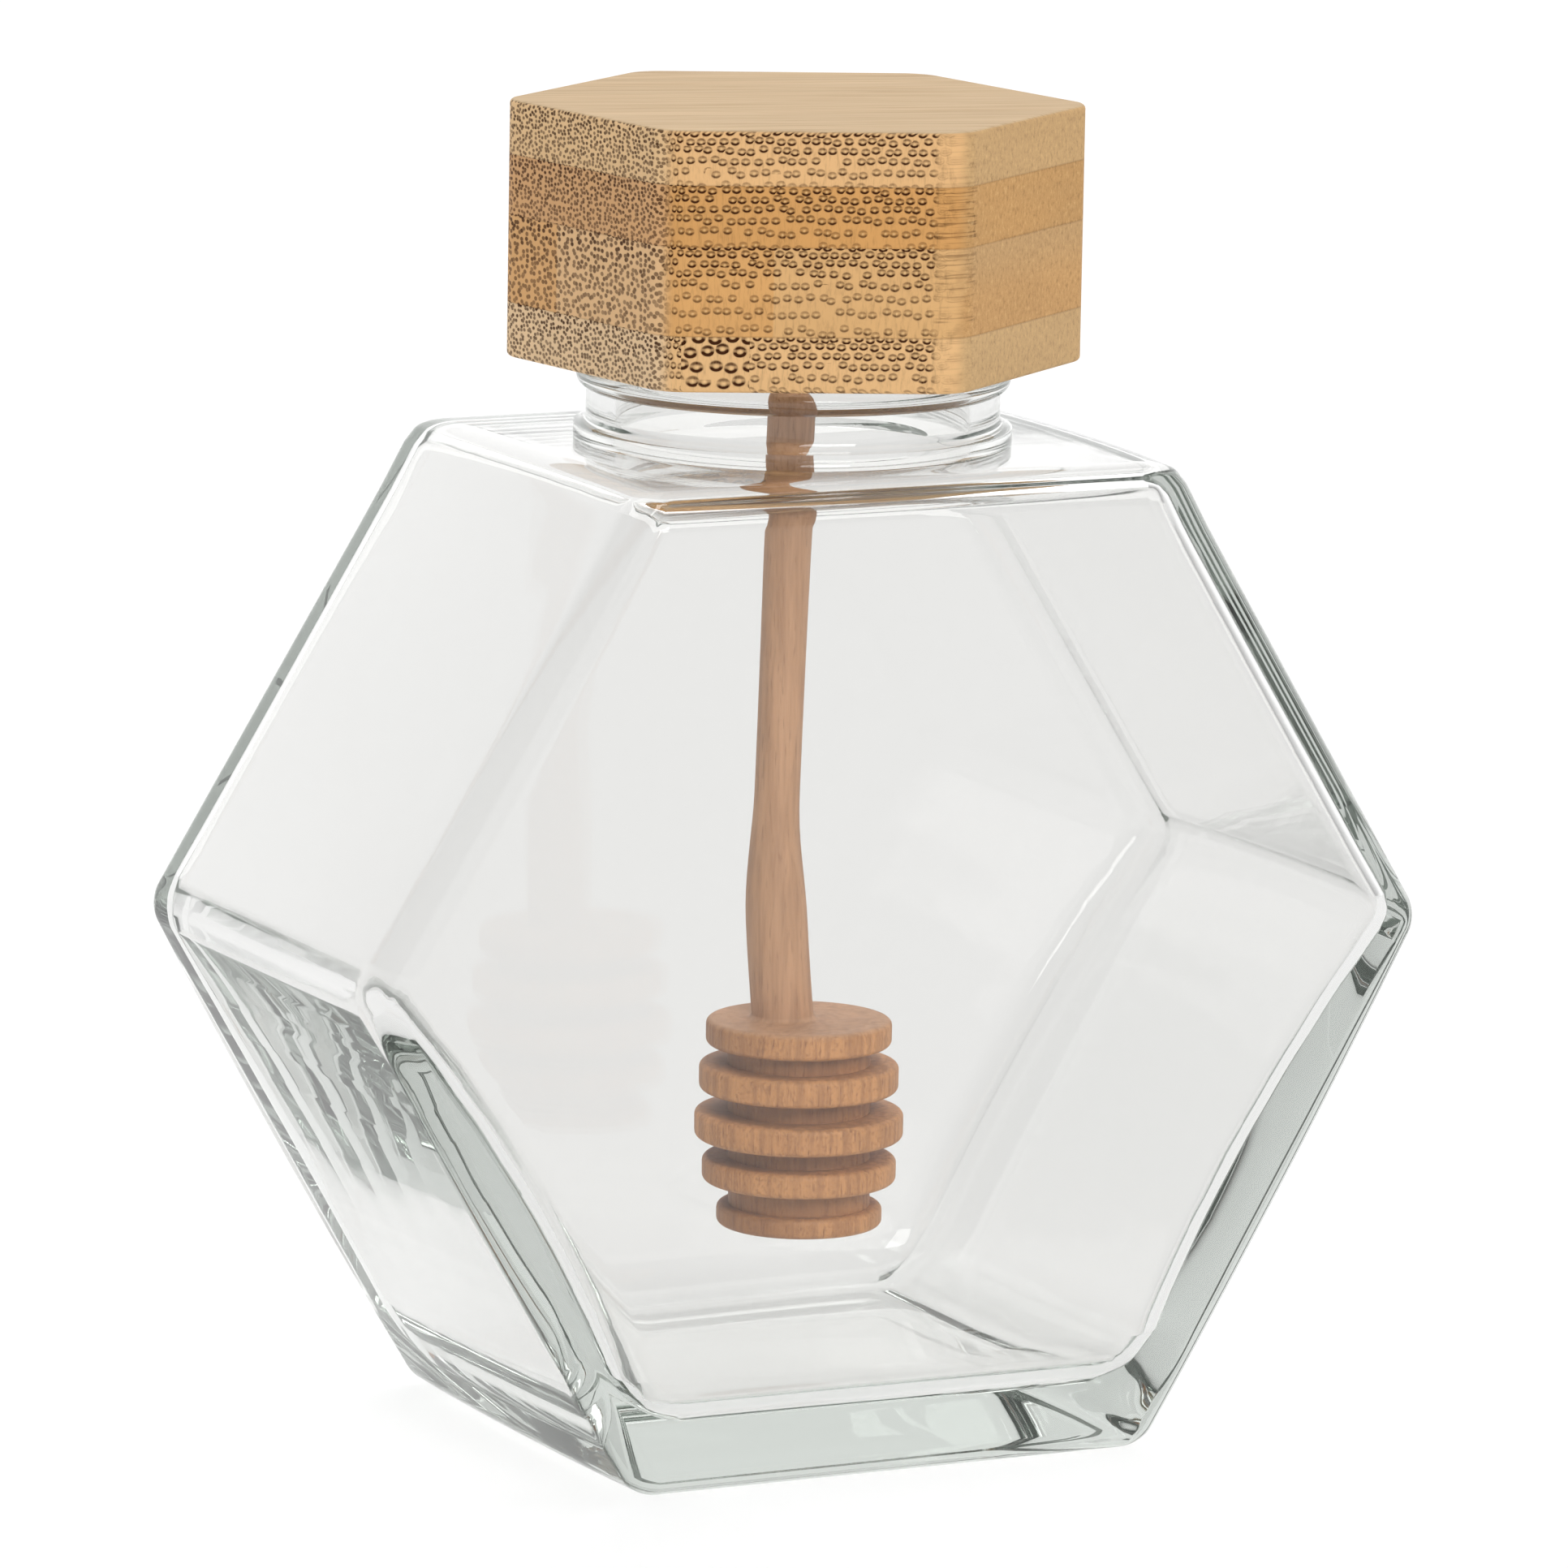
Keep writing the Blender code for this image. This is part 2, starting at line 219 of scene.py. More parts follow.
def turned(name, profile, steps):
    """A profile of (r, z) points, drawn by extruding one point and spun about Z."""
    bpy.ops.mesh.primitive_plane_add(size=MM, location=(profile[0][0], 0.0, profile[0][1]))
    piece = added(name)
    bpy.ops.object.mode_set(mode="EDIT")
    bpy.ops.mesh.select_mode(type="VERT")
    bpy.ops.mesh.select_all(action="SELECT")
    bpy.ops.mesh.merge(type="CENTER")
    for before, after in zip(profile, profile[1:]):
        move = (after[0] - before[0], 0.0, after[1] - before[1])
        bpy.ops.mesh.extrude_region_move(TRANSFORM_OT_translate={"value": move})
    bpy.ops.mesh.select_all(action="SELECT")
    bpy.ops.mesh.spin(steps=steps, angle=math.tau, center=(0, 0, 0), axis=(0, 0, 1))
    bpy.ops.mesh.select_all(action="SELECT")
    bpy.ops.mesh.remove_doubles(threshold=0.004 * MM)
    bpy.ops.mesh.normals_make_consistent(inside=False)
    bpy.ops.object.mode_set(mode="OBJECT")
    return piece


def finish_piece(piece, finish, node):
    """Gives a finished shape its material, its smooth shading and its place in the frame."""
    piece.data.materials.clear()
    piece.data.materials.append(finish)
    pick(piece)
    bpy.ops.object.shade_smooth_by_angle(angle=SMOOTH_ANGLE)
    modify(piece, "WEIGHTED_NORMAL", mode="FACE_AREA_WITH_ANGLE", weight=60, keep_sharp=True)
    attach(piece, "root")
    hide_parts(node)


# Glass

def set_in(corners, insets):
    """The corners with each side moved inward by its own inset, in the order of the sides."""
    lines = []
    for i, inset in enumerate(insets):
        along = (corners[(i + 1) % 6] - corners[i]).normalized()
        lines.append((corners[i] + Vector((-along.y, along.x)) * inset, along))
    moved = []
    for before, after in zip([lines[-1], *lines[:-1]], lines):
        reach = (after[0] - before[0]).cross(after[1]) / before[1].cross(after[1])
        moved.append(before[0] + before[1] * reach)
    return moved


def hexagonal_block(name, corners, depth):
    """A six-sided block on its side, with each edge along its depth moved to its corner."""
    radius = corners[0].x
    bpy.ops.mesh.primitive_cylinder_add(
        vertices=6, radius=radius, depth=depth, rotation=(math.radians(90), HALF_HEX, 0.0)
    )
    block = added(name)
    for i, corner in enumerate(corners):
        start = Vector((radius * math.cos(i * math.tau / 6), radius * math.sin(i * math.tau / 6)))
        shift = corner - start
        edit_points(
            block, lambda co: (Vector((co.x, co.z)) - start).length < 0.5 * MM,
            bpy.ops.transform.translate, value=(shift.x, 0.0, shift.y),
        )
    return block


def edge_place(start, end):
    """Where on the body an edge lies, under the names that CAVITY_ROUNDING has."""
    height = ((start + end) / 2).z
    if abs(start.y - end.y) > 1 * MM:
        places = ((30 * MM, "base_corner"), (70 * MM, "side_corner"), (math.inf, "top_corner"))
    else:
        places = ((15 * MM, "base_rim"), (50 * MM, "lower_rim"), (math.inf, "upper_rim"))
    return next(place for limit, place in places if height < limit)


def round_block(block, rounding, facets):
    """Rounds each edge of a block by the amount for its place."""
    widest = max(rounding.values())
    weights = block.data.attributes.new("bevel_weight_edge", "FLOAT", "EDGE")
    for edge in block.data.edges:
        start, end = (block.data.vertices[i].co for i in edge.vertices)
        weights.data[edge.index].value = rounding[edge_place(start, end)] / widest
    modify(block, "BEVEL", width=widest, segments=facets, limit_method="WEIGHT", use_clamp_overlap=False)


def swell(block, lower_bow):
    """Swells a block towards the middle of its depth, and bows its lower sides, with a lattice."""
    height = BODY_HEIGHT + 4 * MM
    upper_height = BODY_HEIGHT - CORNER_HEIGHT
    bpy.ops.object.add(type="LATTICE", location=(0.0, 0.0, height / 2))
    cage = bpy.context.active_object
    cage.scale = (2 * BODY_CORNERS[0].x, BODY_DEPTH, height)
    cage.data.points_u = 2
    cage.data.points_v = 9
    cage.data.points_w = 17
    cage.data.interpolation_type_u = "KEY_LINEAR"
    cage.data.interpolation_type_v = "KEY_CARDINAL"
    cage.data.interpolation_type_w = "KEY_CARDINAL"
    for point in cage.data.points:
        bulge = 1 - (2 * point.co.y) ** 2
        z = min(max((point.co.z + 0.5) * height, 0.0), BODY_HEIGHT)
        lower = z < CORNER_HEIGHT
        share = z / CORNER_HEIGHT if lower else (BODY_HEIGHT - z) / upper_height
        half_width = BODY_CORNERS[1].x + (BODY_CORNERS[0].x - BODY_CORNERS[1].x) * share
        bow = lower_bow * 4 * share * (1 - share) if lower else 0.0
        point.co_deform.x = point.co.x * (1 + (SIDE_CROWN * bulge + bow) * SIDE_SLANT / half_width)
        point.co_deform.z = (z + TOP_CROWN * bulge * z / BODY_HEIGHT) / height - 0.5
    bpy.context.view_layer.update()
    modify(block, "LATTICE", object=cage)
    bpy.data.objects.remove(cage, do_unlink=True)


def neck_outside():
    bead_round = (BEAD_TOP - BEAD_BOTTOM) / 2
    flare_radius = NECK_RADIUS + NECK_FLARE
    profile = [(0.0, RIM_HEIGHT)]
    profile += arc((NECK_RADIUS - RIM_ROUNDING, RIM_HEIGHT - RIM_ROUNDING), RIM_ROUNDING, 90, 0, 8)
    profile += [(NECK_RADIUS, BEAD_TOP)]
    profile += arc((BEAD_RADIUS - bead_round, BEAD_BOTTOM + bead_round), bead_round, 60, -60, 14)
    profile += [(NECK_RADIUS, BEAD_BOTTOM)]
    profile += arc((flare_radius, NECK_FOOT + NECK_FLARE), NECK_FLARE, 180, 270, 16)
    profile += [(flare_radius, BODY_HEIGHT - NECK_ROOT), (0.0, BODY_HEIGHT - NECK_ROOT)]
    return turned("neck_outside", profile, NECK_STEPS)


def neck_inside():
    ceiling = NECK_FOOT - SHOULDER_WALL
    flare_radius = NECK_BORE_RADIUS + BORE_FLARE
    rim_centre = (NECK_BORE_RADIUS + RIM_ROUNDING, RIM_HEIGHT - RIM_ROUNDING)
    profile = [(0.0, RIM_HEIGHT + OVERSHOOT), (rim_centre[0], RIM_HEIGHT + OVERSHOOT)]
    profile += arc(rim_centre, RIM_ROUNDING, 90, 180, 8)
    profile += arc((flare_radius, ceiling + BORE_FLARE), BORE_FLARE, 180, 270, 18)
    profile += [(flare_radius, ceiling - OVERSHOOT), (0.0, ceiling - OVERSHOOT)]
    return turned("neck_inside", profile, NECK_STEPS)


def jar_outside():
    jar = hexagonal_block("clear_glass_jar", BODY_CORNERS, BODY_DEPTH)
    round_block(jar, dict.fromkeys(CAVITY_ROUNDING, BODY_ROUNDING), 8)
    slice_all(jar, 1, -BODY_DEPTH / 2, BODY_DEPTH / 2, BODY_GRID_DEPTH)
    slice_all(jar, 2, 0.0, BODY_HEIGHT, BODY_GRID_HEIGHT)
    swell(jar, LOWER_BOW)
    cut_or_join(jar, neck_outside(), "UNION")
    return jar


def jar_inside():
    walls = (WALL, SHOULDER_WALL, WALL, WALL, BASE_WALL, WALL)
    depth = BODY_DEPTH - 2 * WALL
    cavity = hexagonal_block("cavity", set_in(BODY_CORNERS, walls), depth)
    round_block(cavity, CAVITY_ROUNDING, 10)
    slice_all(cavity, 0, -CAVITY_REACH, CAVITY_REACH, CAVITY_GRID)
    slice_all(cavity, 1, -depth / 2, depth / 2, CAVITY_GRID)
    slice_all(cavity, 2, 0.0, BODY_HEIGHT, CAVITY_GRID)
    swell(cavity, CAVITY_LOWER_BOW)
    waves = bpy.data.textures.new("glass_waves", "CLOUDS")
    waves.noise_scale = WAVE_SIZE
    waves.noise_depth = 0
    modify(cavity, "DISPLACE", texture=waves, strength=WAVE_HEIGHT, mid_level=0.5)
    cut_or_join(cavity, neck_inside(), "UNION")
    return cavity


def glass_jar(finish):
    jar = jar_outside()
    cut_or_join(jar, jar_inside(), "DIFFERENCE")
    finish_piece(jar, finish, "glass_jar")


# Bamboo cap

def bamboo_cap(finish):
    height = CAP_TOP - CAP_BOTTOM
    bpy.ops.mesh.primitive_cylinder_add(
        vertices=6, radius=CAP_ACROSS_FLATS / 2 / math.cos(HALF_HEX), depth=height,
        location=(0.0, 0.0, (CAP_BOTTOM + CAP_TOP) / 2), rotation=(0.0, 0.0, CAP_TURN + HALF_HEX),
    )
    cap = added("laminated_bamboo_cap")
    bpy.ops.object.mode_set(mode="EDIT")
    bpy.ops.mesh.select_mode(type="EDGE")
    bpy.ops.mesh.select_all(action="DESELECT")
    bpy.ops.object.mode_set(mode="OBJECT")
    for edge in cap.data.edges:
        a, b = (cap.data.vertices[i].co for i in edge.vertices)
        edge.select = abs(a.z - b.z) > height / 2
    bpy.ops.object.mode_set(mode="EDIT")
    corner_width = CAP_CORNER_RADIUS * math.tan(HALF_HEX)
    bpy.ops.mesh.bevel(offset=corner_width, segments=12, profile=0.5, affect="EDGES")
    bpy.ops.object.mode_set(mode="OBJECT")
    sharp = math.radians(60)
    modify(cap, "BEVEL", width=CAP_EDGE_ROUNDING, segments=4, limit_method="ANGLE", angle_limit=sharp)

    for name, radius, top, shift in (
        ("recess", RECESS_RADIUS, RECESS_CEILING, 0.0),
        ("stick_hole", STICK_HOLE_RADIUS, RECESS_CEILING + STICK_HOLE_DEPTH, GRIP_OFFSET),
    ):
        depth = top - CAP_BOTTOM + OVERSHOOT
        place = SWING * shift + Vector((0.0, 0.0, top - depth / 2))
        bpy.ops.mesh.primitive_cylinder_add(vertices=96, radius=radius, depth=depth, location=place)
        cut_or_join(cap, added(name), "DIFFERENCE")
    finish_piece(cap, finish, "bamboo_cap")


# Dipper

def stick_middle(height):
    """How far the middle of the warped stick lies from the jar's axis."""
    if height > STICK_STRAIGHT_END:
        return GRIP_OFFSET - STICK_SLANT * (GRIP_HEIGHT - height)
    start = GRIP_OFFSET - STICK_SLANT * (GRIP_HEIGHT - STICK_STRAIGHT_END)
    share = (STICK_STRAIGHT_END - height) / (STICK_STRAIGHT_END - HEAD_TOP)
    return start + (HEAD_OFFSET - STICK_FOOT_OFFSET - start) * (1 - math.cos(math.pi / 2 * share))


def stick_profile():
    """The stick from the top down, as (r, z), as far as the head's top face."""
    top = (STICK_RADIUS, CAP_BOTTOM)
    fillet_centre = (STICK_FOOT[0] + STICK_FILLET, HEAD_TOP + STICK_FILLET)
    profile = [(0.0, STICK_TOP), (STICK_RADIUS - STICK_END_ROUNDING, STICK_TOP)]
    profile += [(STICK_RADIUS, STICK_TOP - STICK_END_ROUNDING)]
    profile += taper(top, STICK_WAIST, 16) + taper(STICK_WAIST, STICK_FOOT, 8)
    profile += taper(STICK_FOOT, (STICK_FOOT[0], HEAD_TOP + 0.5 * MM), 4)
    return profile + arc(fillet_centre, STICK_FILLET, 190, 270, 4)


def head_profile():
    """The discs and the grooves between them, as (r, z), ending on the axis below."""
    profile = []
    groove_edge = HEAD_CORE_RADIUS + HEAD_CORE_FILLET
    for underside, thickness, radius in DISCS:
        upper = underside + thickness
        rim = radius - DISC_ROUNDING
        profile += [(HEAD_CORE_RADIUS, upper - 0.05 * MM), (groove_edge, upper)]
        profile += arc((rim, upper - DISC_ROUNDING), DISC_ROUNDING, 90, 0, 6)
        profile += arc((rim, underside + DISC_ROUNDING), DISC_ROUNDING, 0, -90, 6)
        profile += [(groove_edge, underside), (HEAD_CORE_RADIUS, underside - HEAD_CORE_FILLET)]
    profile[-1] = (0.0, DISCS[-1][0])
    return profile


def honey_dipper(finish):
    stick = stick_profile()
    dipper = turned("turned_wooden_dipper", stick + head_profile(), DIPPER_STEPS)

    def ring(height):
        return lambda co: abs(co.z - height) < 0.01 * MM and math.hypot(co.x, co.y) < 4.5 * MM

    def head_part(upper, lower):
        """The head's points between two heights, without the stick's foot on its top face."""
        def wanted(co):
            on_head = co.z < HEAD_TOP - 0.02 * MM or math.hypot(co.x, co.y) > 6 * MM
            return lower < co.z <= upper and on_head
        return wanted

    for height in sorted({point[1] for point in stick}):
        shift = SWING * stick_middle(max(height, HEAD_TOP))
        edit_points(dipper, ring(height), bpy.ops.transform.translate, value=shift)
    edges = [HEAD_TOP + 1 * MM] + [disc[0] - 0.9 * MM for disc in DISCS]
    for upper, lower in zip(edges, edges[1:]):
        shift = SWING * (HEAD_OFFSET + HEAD_LEAN * (HEAD_TOP - (upper + lower) / 2))
        edit_points(dipper, head_part(upper, lower), bpy.ops.transform.translate, value=shift)
    finish_piece(dipper, finish, "honey_dipper")


# Finishes

class Number:
    """A number or colour inside a finish. Python's operators on it add Math nodes."""

    def __init__(self, finish, socket):
        self.finish = finish
        self.socket = socket

    def math(self, operation, *values):
        return self.finish.node("ShaderNodeMath", dict(enumerate(values)), operation=operation)

    def __add__(self, other):
        return self.math("ADD", self, other)

    def __sub__(self, other):
        return self.math("SUBTRACT", self, other)

    def __rsub__(self, other):
        return self.math("SUBTRACT", other, self)

    def __mul__(self, other):
        return self.math("MULTIPLY", self, other)

    def __truediv__(self, other):
        return self.math("DIVIDE", self, other)

    def __pow__(self, other):
        return self.math("POWER", self, other)

    def __abs__(self):
        return self.math("ABSOLUTE", self)

    __radd__ = __add__
    __rmul__ = __mul__

    def above(self, limit):
        return self.math("GREATER_THAN", self, limit)

    def floor(self):
        return self.math("FLOOR", self)

    def least(self, other):
        return self.math("MINIMUM", self, other)

    def most(self, other):
        return self.math("MAXIMUM", self, other)

    def smooth(self, low, high):
        """0 below low and 1 above high, eased between them."""
        limits = {"Value": self, "From Min": low, "From Max": high, "To Min": 0.0, "To Max": 1.0}
        return self.finish.node("ShaderNodeMapRange", limits, interpolation_type="SMOOTHSTEP")


class Finish:
    """A material whose nodes are being built."""

    def __init__(self, name, roughness):
        self.material = bpy.data.materials.new(name)
        self.material.use_nodes = True
        self.tree = self.material.node_tree
        self.shader = self.tree.nodes["Principled BSDF"]
        self.shader.inputs["Roughness"].default_value = roughness

    def feed(self, socket, value):
        if isinstance(value, Number):
            self.tree.links.new(value.socket, socket)
        elif hasattr(value, "__len__") and len(value) == 3 and len(socket.default_value) == 4:
            socket.default_value = (*value, 1.0)
        else:
            socket.default_value = value

    def node(self, kind, inputs, output=0, **settings):
        made = self.tree.nodes.new(kind)
        for key, value in settings.items():
            setattr(made, key, value)
        for key, value in inputs.items():
            self.feed(made.inputs[key], value)
        return Number(self, made.outputs[output])

    def place(self):
        """The surface point's x, y and z in millimetres."""
        point = self.node("ShaderNodeTexCoord", {}, output="Object")
        return [self.node("ShaderNodeSeparateXYZ", {0: point}, output=i) * 1000 for i in range(3)]

    def facing_up(self):
        normal = self.node("ShaderNodeTexCoord", {}, output="Normal")
        return self.node("ShaderNodeSeparateXYZ", {0: normal}, output=2)

    def point(self, *values):
        return self.node("ShaderNodeCombineXYZ", dict(enumerate(values)))

    def noise(self, point, scale, detail=2.0, roughness=0.5):
        inputs = {"Vector": point, "Scale": scale, "Detail": detail, "Roughness": roughness}
        return self.node("ShaderNodeTexNoise", inputs)

    def random(self, point):
        return self.node("ShaderNodeTexWhiteNoise", {"Vector": point})

    def mix(self, share, first, second):
        """A colour between two."""
        return self.node("ShaderNodeMix", {0: share, 6: first, 7: second}, output=2, data_type="RGBA")

    def shade(self, colour, factor):
        """A colour made darker or lighter by a number."""
        return self.node("ShaderNodeVectorMath", {0: colour, "Scale": factor}, operation="SCALE")

    def relief(self, height, depth, strength):
        bump = self.node("ShaderNodeBump", {"Height": height, "Distance": depth, "Strength": strength})
        self.feed(self.shader.inputs["Normal"], bump)

    def colour(self, colour):
        self.feed(self.shader.inputs["Base Color"], colour)


def linear(red, green, blue):
    """A colour as numbers from 0 to 255 on a screen, for a shader."""
    shares = (value / 255 for value in (red, green, blue))
    return tuple(share / 12.92 if share < 0.04 else ((share + 0.055) / 1.055) ** 2.4 for share in shares)


GLASS_TINT = (0.885, 0.882, 0.875)
GLASS_DEPTH_COLOUR = (0.56, 0.605, 0.57)
GLASS_DENSITY = 22.0
GLASS_SHADOW_TINT = (0.94, 0.95, 0.945)
GLASS_IOR = 1.47


def clear_glass():
    finish = Finish("clear_glass", 0.0)
    shader = finish.shader
    shader.inputs["Base Color"].default_value = (*GLASS_TINT, 1.0)
    shader.inputs["Transmission Weight"].default_value = 1.0
    shader.inputs["IOR"].default_value = GLASS_IOR
    tree = finish.tree
    lit = tree.nodes.new("ShaderNodeLightPath")
    passing = tree.nodes.new("ShaderNodeBsdfTransparent")
    passing.inputs["Color"].default_value = (*GLASS_SHADOW_TINT, 1.0)
    mix = tree.nodes.new("ShaderNodeMixShader")
    absorb = tree.nodes.new("ShaderNodeVolumeAbsorption")
    absorb.inputs["Color"].default_value = (*GLASS_DEPTH_COLOUR, 1.0)
    absorb.inputs["Density"].default_value = GLASS_DENSITY
    output = tree.nodes["Material Output"]
    tree.links.new(lit.outputs["Is Shadow Ray"], mix.inputs[0])
    tree.links.new(shader.outputs[0], mix.inputs[1])
    tree.links.new(passing.outputs[0], mix.inputs[2])
    tree.links.new(mix.outputs[0], output.inputs["Surface"])
    tree.links.new(absorb.outputs[0], output.inputs["Volume"])
    return finish.material


# Cap, in millimetres: the glue lines between its four layers, and what each layer has from the top down
CAP_JOINTS = (126.1, 120.2, 111.6)
CAP_LAYER_TOPS = (131.4, *CAP_JOINTS)
STRIP_WIDTH = 24.0
STRIP_SHIFTS = (9.0, 17.0, 4.3, 8.7)
DOT_SIZES = (0.78, 0.8, 1.02, 0.82)
EDGE_LINE_SHARES = (0.14, 0.5, 0.36, 0.1)
END_GRAIN_COLOURS = ((226, 189, 142), (216, 172, 128), (225, 184, 137), (231, 198, 157))
FRONT_COLOURS = ((224, 179, 126), (208, 157, 98), (217, 172, 117), (226, 182, 129))
SIDE_COLOURS = ((195, 159, 112), (187, 149, 100), (192, 154, 107), (198, 163, 117))
TOP_COLOUR = (199, 173, 138)
TOP_GRAIN_COLOUR = (166, 135, 98)
ORANGE_STRIP_COLOUR = (206, 148, 82)
# Dark fibre ends, grain lines and glue joints, and the painted shade on the eyes' lower rims
DARK_FIBRE_AND_SHADE_COLOUR = (62, 28, 3)
# Pale specks on the sides, and the painted highlight in each eye's middle
PALE_FIBRE_AND_HIGHLIGHT_COLOUR = (248, 208, 150)

# The ways that the cap's sides face: end grain, then the sides right and left of it
END_FACE = (0.992, 0.129)
FRONT_FACE = (0.384, 0.923)
SIDE_FACE = (0.607, -0.794)
TOP_GRAIN = (0.97, -0.242)

# Fibre ends in millimetres: how far apart they lie and how large they are, sideways and upward
DOT_PITCH = (0.74, 0.54)
DOT_RADII = (0.28, 0.21)
EYE_PITCH = 1.08
EYE_RADII = (0.37, 0.3)
EYE_ROW_HEIGHT = 0.72
EYE_ROW_GROWTH = 0.055
FRONT_START = 21.56


class Bamboo(Finish):
    """The cap's finish, with where on the cap a point lies."""

    def __init__(self):
        super().__init__("laminated_bamboo", 0.65)
        self.shader.inputs["Specular IOR Level"].default_value = 0.1
        self.x, self.y, self.z = self.place()
        self.across = END_FACE[1] * self.x - END_FACE[0] * self.y
        self.along = (self.across - FRONT_START) * 2.0
        to_end, to_front, to_side = (
            abs(a * self.x + b * self.y) for a, b in (END_FACE, FRONT_FACE, SIDE_FACE)
        )
        self.on_end = (to_end - to_front.most(to_side)).smooth(-1.0, 0.8)
        self.on_side = (to_side - to_front.most(to_end)).smooth(-0.5, 1.2)
        self.on_front = 1 - self.on_end - self.on_side
        self.on_top = self.facing_up().smooth(0.55, 0.9)
        self.steps = [self.z.above(joint) for joint in CAP_JOINTS]
        self.layer = self.steps[0] + self.steps[1] + self.steps[2]
        self.depth = self.by_layer([top - self.z for top in CAP_LAYER_TOPS])
        self.fading = self.depth.smooth(0.3, 6.0)

    def by_layer(self, values, choose=lambda step, below, above: below + step * (above - below)):
        """The value of the layer that the point lies in."""
        chosen = values[3]
        for step, value in zip(reversed(self.steps), reversed(values[:3])):
            chosen = choose(step, chosen, value)
        return chosen

    def nearest_fibre(self, u, v, looseness):
        """How far the nearest fibre's middle lies in u and in v, and a random number of its own."""
        inputs = {"Vector": self.point(u, v, 0.0), "Scale": 1.0, "Randomness": looseness}
        middle = self.node("ShaderNodeTexVoronoi", inputs, output="Position", voronoi_dimensions="2D")
        places = (self.node("ShaderNodeSeparateXYZ", {0: middle}, output=i) for i in range(2))
        apart_u, apart_v = (value - place for value, place in zip((u, v), places))
        return apart_u, apart_v, self.random(middle)

    def bare_wood(self):
        """Each layer's colour on each side, and strips a little unlike in tone."""
        front, end, side = (
            self.by_layer([linear(*colour) for colour in colours], self.mix)
            for colours in (FRONT_COLOURS, END_GRAIN_COLOURS, SIDE_COLOURS)
        )
        colour = self.mix(self.on_side, self.mix(self.on_end, front, end), side)
        strip = ((self.across + self.by_layer(STRIP_SHIFTS)) / STRIP_WIDTH).floor()
        tone = self.random(self.point(strip, self.layer, 3.0))
        blotch = self.noise(self.point(self.across / 7.0, self.z / 4.0, self.layer * 7.0), 1.0, 3.0)
        warm_front = self.on_front * (1 - self.across.above(19.7))
        warm_end = self.on_end * (1 - self.across.above(-4.3))
        third = 0.5 * (warm_front + warm_end) + 0.3 * self.on_side * self.fading
        warm = self.by_layer((0.0, 0.15 + 0.25 * blotch, third, 0.0))
        colour = self.mix(warm, colour, linear(*ORANGE_STRIP_COLOUR))
        return self.shade(colour, 0.9 + 0.08 * tone + 0.14 * blotch)

    def dots(self):
        """Fibre ends cut square, on the end grain: round dark dots."""
        size = self.by_layer(DOT_SIZES)
        u = self.across / (DOT_PITCH[0] * size) + self.layer * 5.3
        v = self.z / (DOT_PITCH[1] * size)
        apart_u, apart_v, kind = self.nearest_fibre(u, v, 0.85)
        wide, high = apart_u * DOT_PITCH[0] / DOT_RADII[0], apart_v * DOT_PITCH[1] / DOT_RADII[1]
        outward = (wide ** 2 + high ** 2) ** 0.5
        return (1 - outward.smooth(0.7, 1.2)) * (0.7 + 0.3 * kind) * (1.0 - 0.2 * self.fading)

    def eyes(self):
        """Fibre ends cut askew, on the sides beside, fewer lower down: dark rims with painted shade on
        the lower rim, and a painted highlight in the middle.
        """
        coarse_patch = self.across.above(15.3) * (1 - self.across.above(18.6))
        coarse = (1 - self.z.above(CAP_JOINTS[2])) * coarse_patch
        size = 1.0 + 0.45 * coarse
        spread = EYE_ROW_HEIGHT + EYE_ROW_GROWTH * self.depth
        row = self.depth / spread / size + self.layer * 2.3
        u = self.along / (EYE_PITCH * size) + row * 0.5 + self.layer * 3.7
        apart_u, apart_v, kind = self.nearest_fibre(u, row, 0.38)
        wide = (apart_u - apart_v * 0.5) * EYE_PITCH / EYE_RADII[0]
        high = apart_v * ((spread ** 2) / EYE_ROW_HEIGHT) / EYE_RADII[1]
        outward = (wide * wide + high * high) ** 0.5
        kept = kind.above(0.12 * self.fading)
        # Painted shade: the lower rim of each eye is painted darker than the upper one
        lid_shade_tone = 0.25 + 0.45 * (0 - high).smooth(0.1, 0.8) + 0.95 * high.smooth(-0.35, 0.75)
        lids_and_shade = (1 - abs(outward - 0.88).smooth(0.12, 0.52)) * lid_shade_tone * kept
        # Painted highlight: a pale spot in the middle of each eye
        pupil_highlights = (1 - outward.smooth(0.1, 0.5)) * kept
        return lids_and_shade * ((1.0 - 0.4 * self.fading) * (1.0 + 0.4 * coarse)), pupil_highlights

    def top_grain(self):
        """The top shows the grain lengthwise: how strong it is, and the top's colour."""
        lengthwise = TOP_GRAIN[0] * self.x + TOP_GRAIN[1] * self.y
        sideways = TOP_GRAIN[0] * self.y - TOP_GRAIN[1] * self.x
        grain = self.noise(self.point(lengthwise * 0.04, sideways * 2.2, 0.0), 1.0, 4.0, 0.65)
        band = self.noise(self.point(lengthwise * 0.015, sideways * 0.3, 4.0), 1.0, 1.0)
        colour = self.mix(grain.smooth(0.4, 0.72) * 0.8, linear(*TOP_COLOUR), linear(*TOP_GRAIN_COLOUR))
        return grain, self.shade(colour, 0.9 + 0.2 * band)


